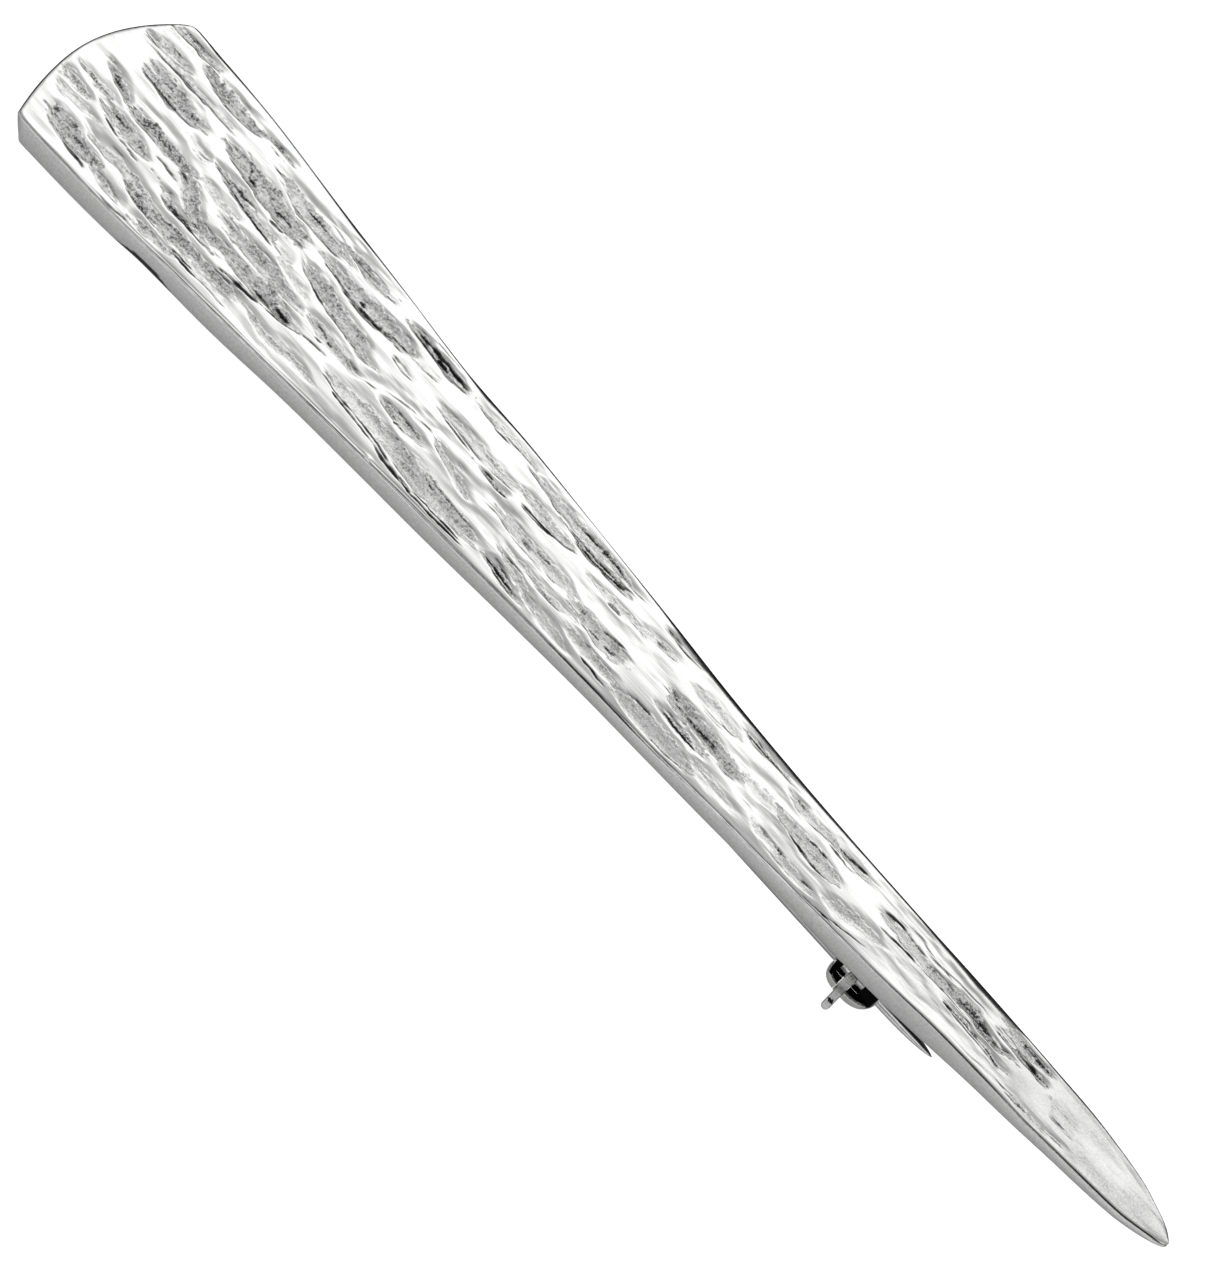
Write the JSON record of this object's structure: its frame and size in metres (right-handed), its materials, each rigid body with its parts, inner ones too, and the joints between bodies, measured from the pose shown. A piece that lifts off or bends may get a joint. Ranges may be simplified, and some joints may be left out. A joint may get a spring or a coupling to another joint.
{
  "type": "kilt pin",
  "caption": "Kilt pin: a long tapered cast bar with bark-like relief, a hinged stem behind it and a small barrel catch that a lever rolls shut",
  "frame": {"origin": "middle of the bounding box's underside, on the surface that the pin lies on", "axes": "+X along the pin from its broad end to its point, +Y across it away from the lever, +Z out of its face"},
  "size_m": [0.1, 0.0144, 0.0073],
  "materials": {
    "silver": "cast silver, darkened in the hollows and polished on the ridges",
    "steel": "polished"
  },
  "bodies": {
    "bar": {"body": "silver", "hinge_rivet": "steel"},
    "stem": {"pin_stem": "steel"},
    "rotor": {"catch_rotor": "steel"}
  },
  "joints": [
    {"name": "stem_swing", "type": "hinge", "parent": "bar", "child": "stem", "pos_m": [-0.041, -0.00046, 0.00163], "axis": [0, 1, 0], "range_deg": [0, 80]},
    {"name": "lever_roll", "type": "hinge", "parent": "bar", "child": "rotor", "pos_m": [0.02515, -0.00046, 0.00163], "axis": [1, 0, 0], "range_deg": [0, 155]}
  ]
}
